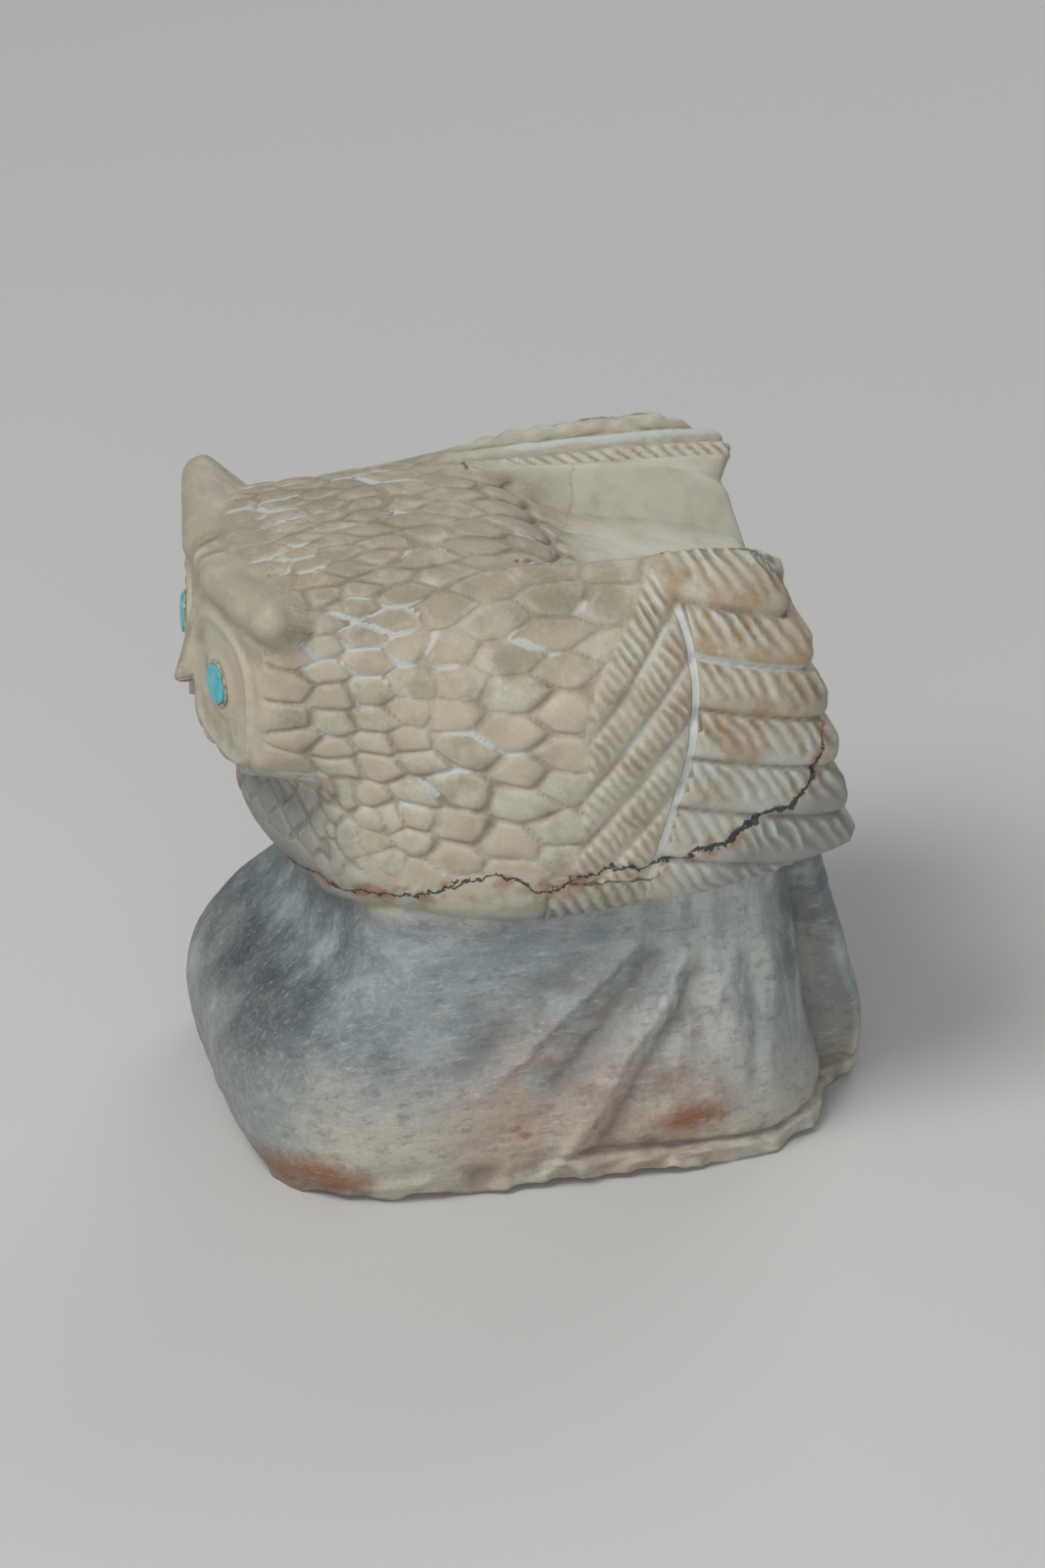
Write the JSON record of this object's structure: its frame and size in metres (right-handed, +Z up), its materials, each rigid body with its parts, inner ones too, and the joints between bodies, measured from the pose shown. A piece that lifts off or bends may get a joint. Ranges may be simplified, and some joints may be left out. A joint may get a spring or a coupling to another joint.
{
  "type": "owl figurine",
  "caption": "Small carved stone owl with ear tufts, folded feathered wings and inset turquoise disc eyes, crouching on a rock cut from the same stone.",
  "frame": {"origin": "middle of the figure's outer box, on the resting face under the rock", "axes": "+Z up; the owl faces -Y; its left side is +X"},
  "size_m": [0.0386, 0.0524, 0.0501],
  "materials": {
    "banded_stone": "satin",
    "turquoise": "satin",
    "adhesive": "gloss"
  },
  "bodies": {
    "root": {"carved_stone": "banded_stone", "left_eye_inlay": "turquoise", "right_eye_inlay": "turquoise", "left_eye_adhesive": "adhesive", "right_eye_adhesive": "adhesive"}
  },
  "joints": []
}
